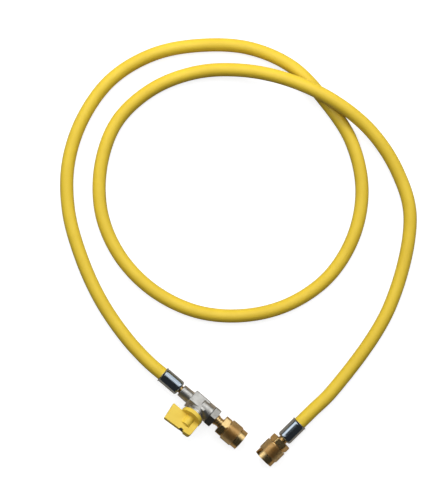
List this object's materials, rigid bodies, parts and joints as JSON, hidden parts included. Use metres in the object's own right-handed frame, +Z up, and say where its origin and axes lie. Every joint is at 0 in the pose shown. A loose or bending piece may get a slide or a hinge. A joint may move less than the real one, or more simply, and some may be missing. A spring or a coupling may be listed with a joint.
{
  "type": "refrigerant charging hose",
  "caption": "Flexible refrigerant hose with crimped ferrules, a swivel flare nut at each end and a lever ball valve at one end, lying in a loose coil.",
  "frame": {"origin": "on the floor under the middle of the box round the metal and plastic fittings, with the hose left out", "axes": "+X along the valve's flow, out of its nut's mouth; +Z up from the floor; +Y towards the coil"},
  "size_m": [0.315, 0.2944, 0.0266],
  "materials": {
    "hose_rubber": "satin yellow hose cover with a fine grain",
    "bright_zinc": "mirror-bright plated steel",
    "nickel": "satin nickel plate on cast brass",
    "brass": "turned and lightly polished",
    "lever_plastic": "smooth satin yellow",
    "ball_steel": "polished",
    "seat_plastic": "plain white",
    "black_rubber": "matt black"
  },
  "bodies": {
    "hose_and_fittings": {"hose": "hose_rubber", "valve_ferrule": "bright_zinc", "end_ferrule": "bright_zinc", "valve_insert": "brass", "valve_body": "nickel", "inlet_seat": "seat_plastic", "outlet_seat": "seat_plastic", "end_cap": "nickel", "outlet_stem": "brass", "valve_gasket": "black_rubber", "core_depressor": "brass", "end_stem": "brass", "end_gasket": "black_rubber"},
    "lever": {"lever": "lever_plastic", "lever_screw": "ball_steel", "stem": "brass", "stem_o_ring": "black_rubber", "ball": "ball_steel"},
    "valve_nut": {"valve_nut": "brass"},
    "end_nut": {"end_nut": "brass"}
  },
  "joints": [
    {"name": "lever_turn", "type": "hinge", "parent": "hose_and_fittings", "child": "lever", "pos_m": [-0.01916, -0.00831, 0.0093], "axis": [0, 0.848, -0.5299], "range_deg": [0, 90]},
    {"name": "valve_nut_spin", "type": "hinge", "parent": "hose_and_fittings", "child": "valve_nut", "pos_m": [0.01564, -0.00831, 0.0093], "axis": [1, 0, 0], "continuous": true},
    {"name": "end_nut_spin", "type": "hinge", "parent": "hose_and_fittings", "child": "end_nut", "pos_m": [0.04954, 0.00311, 0.0093], "axis": [-0.0872, -0.9962, 0], "continuous": true}
  ]
}
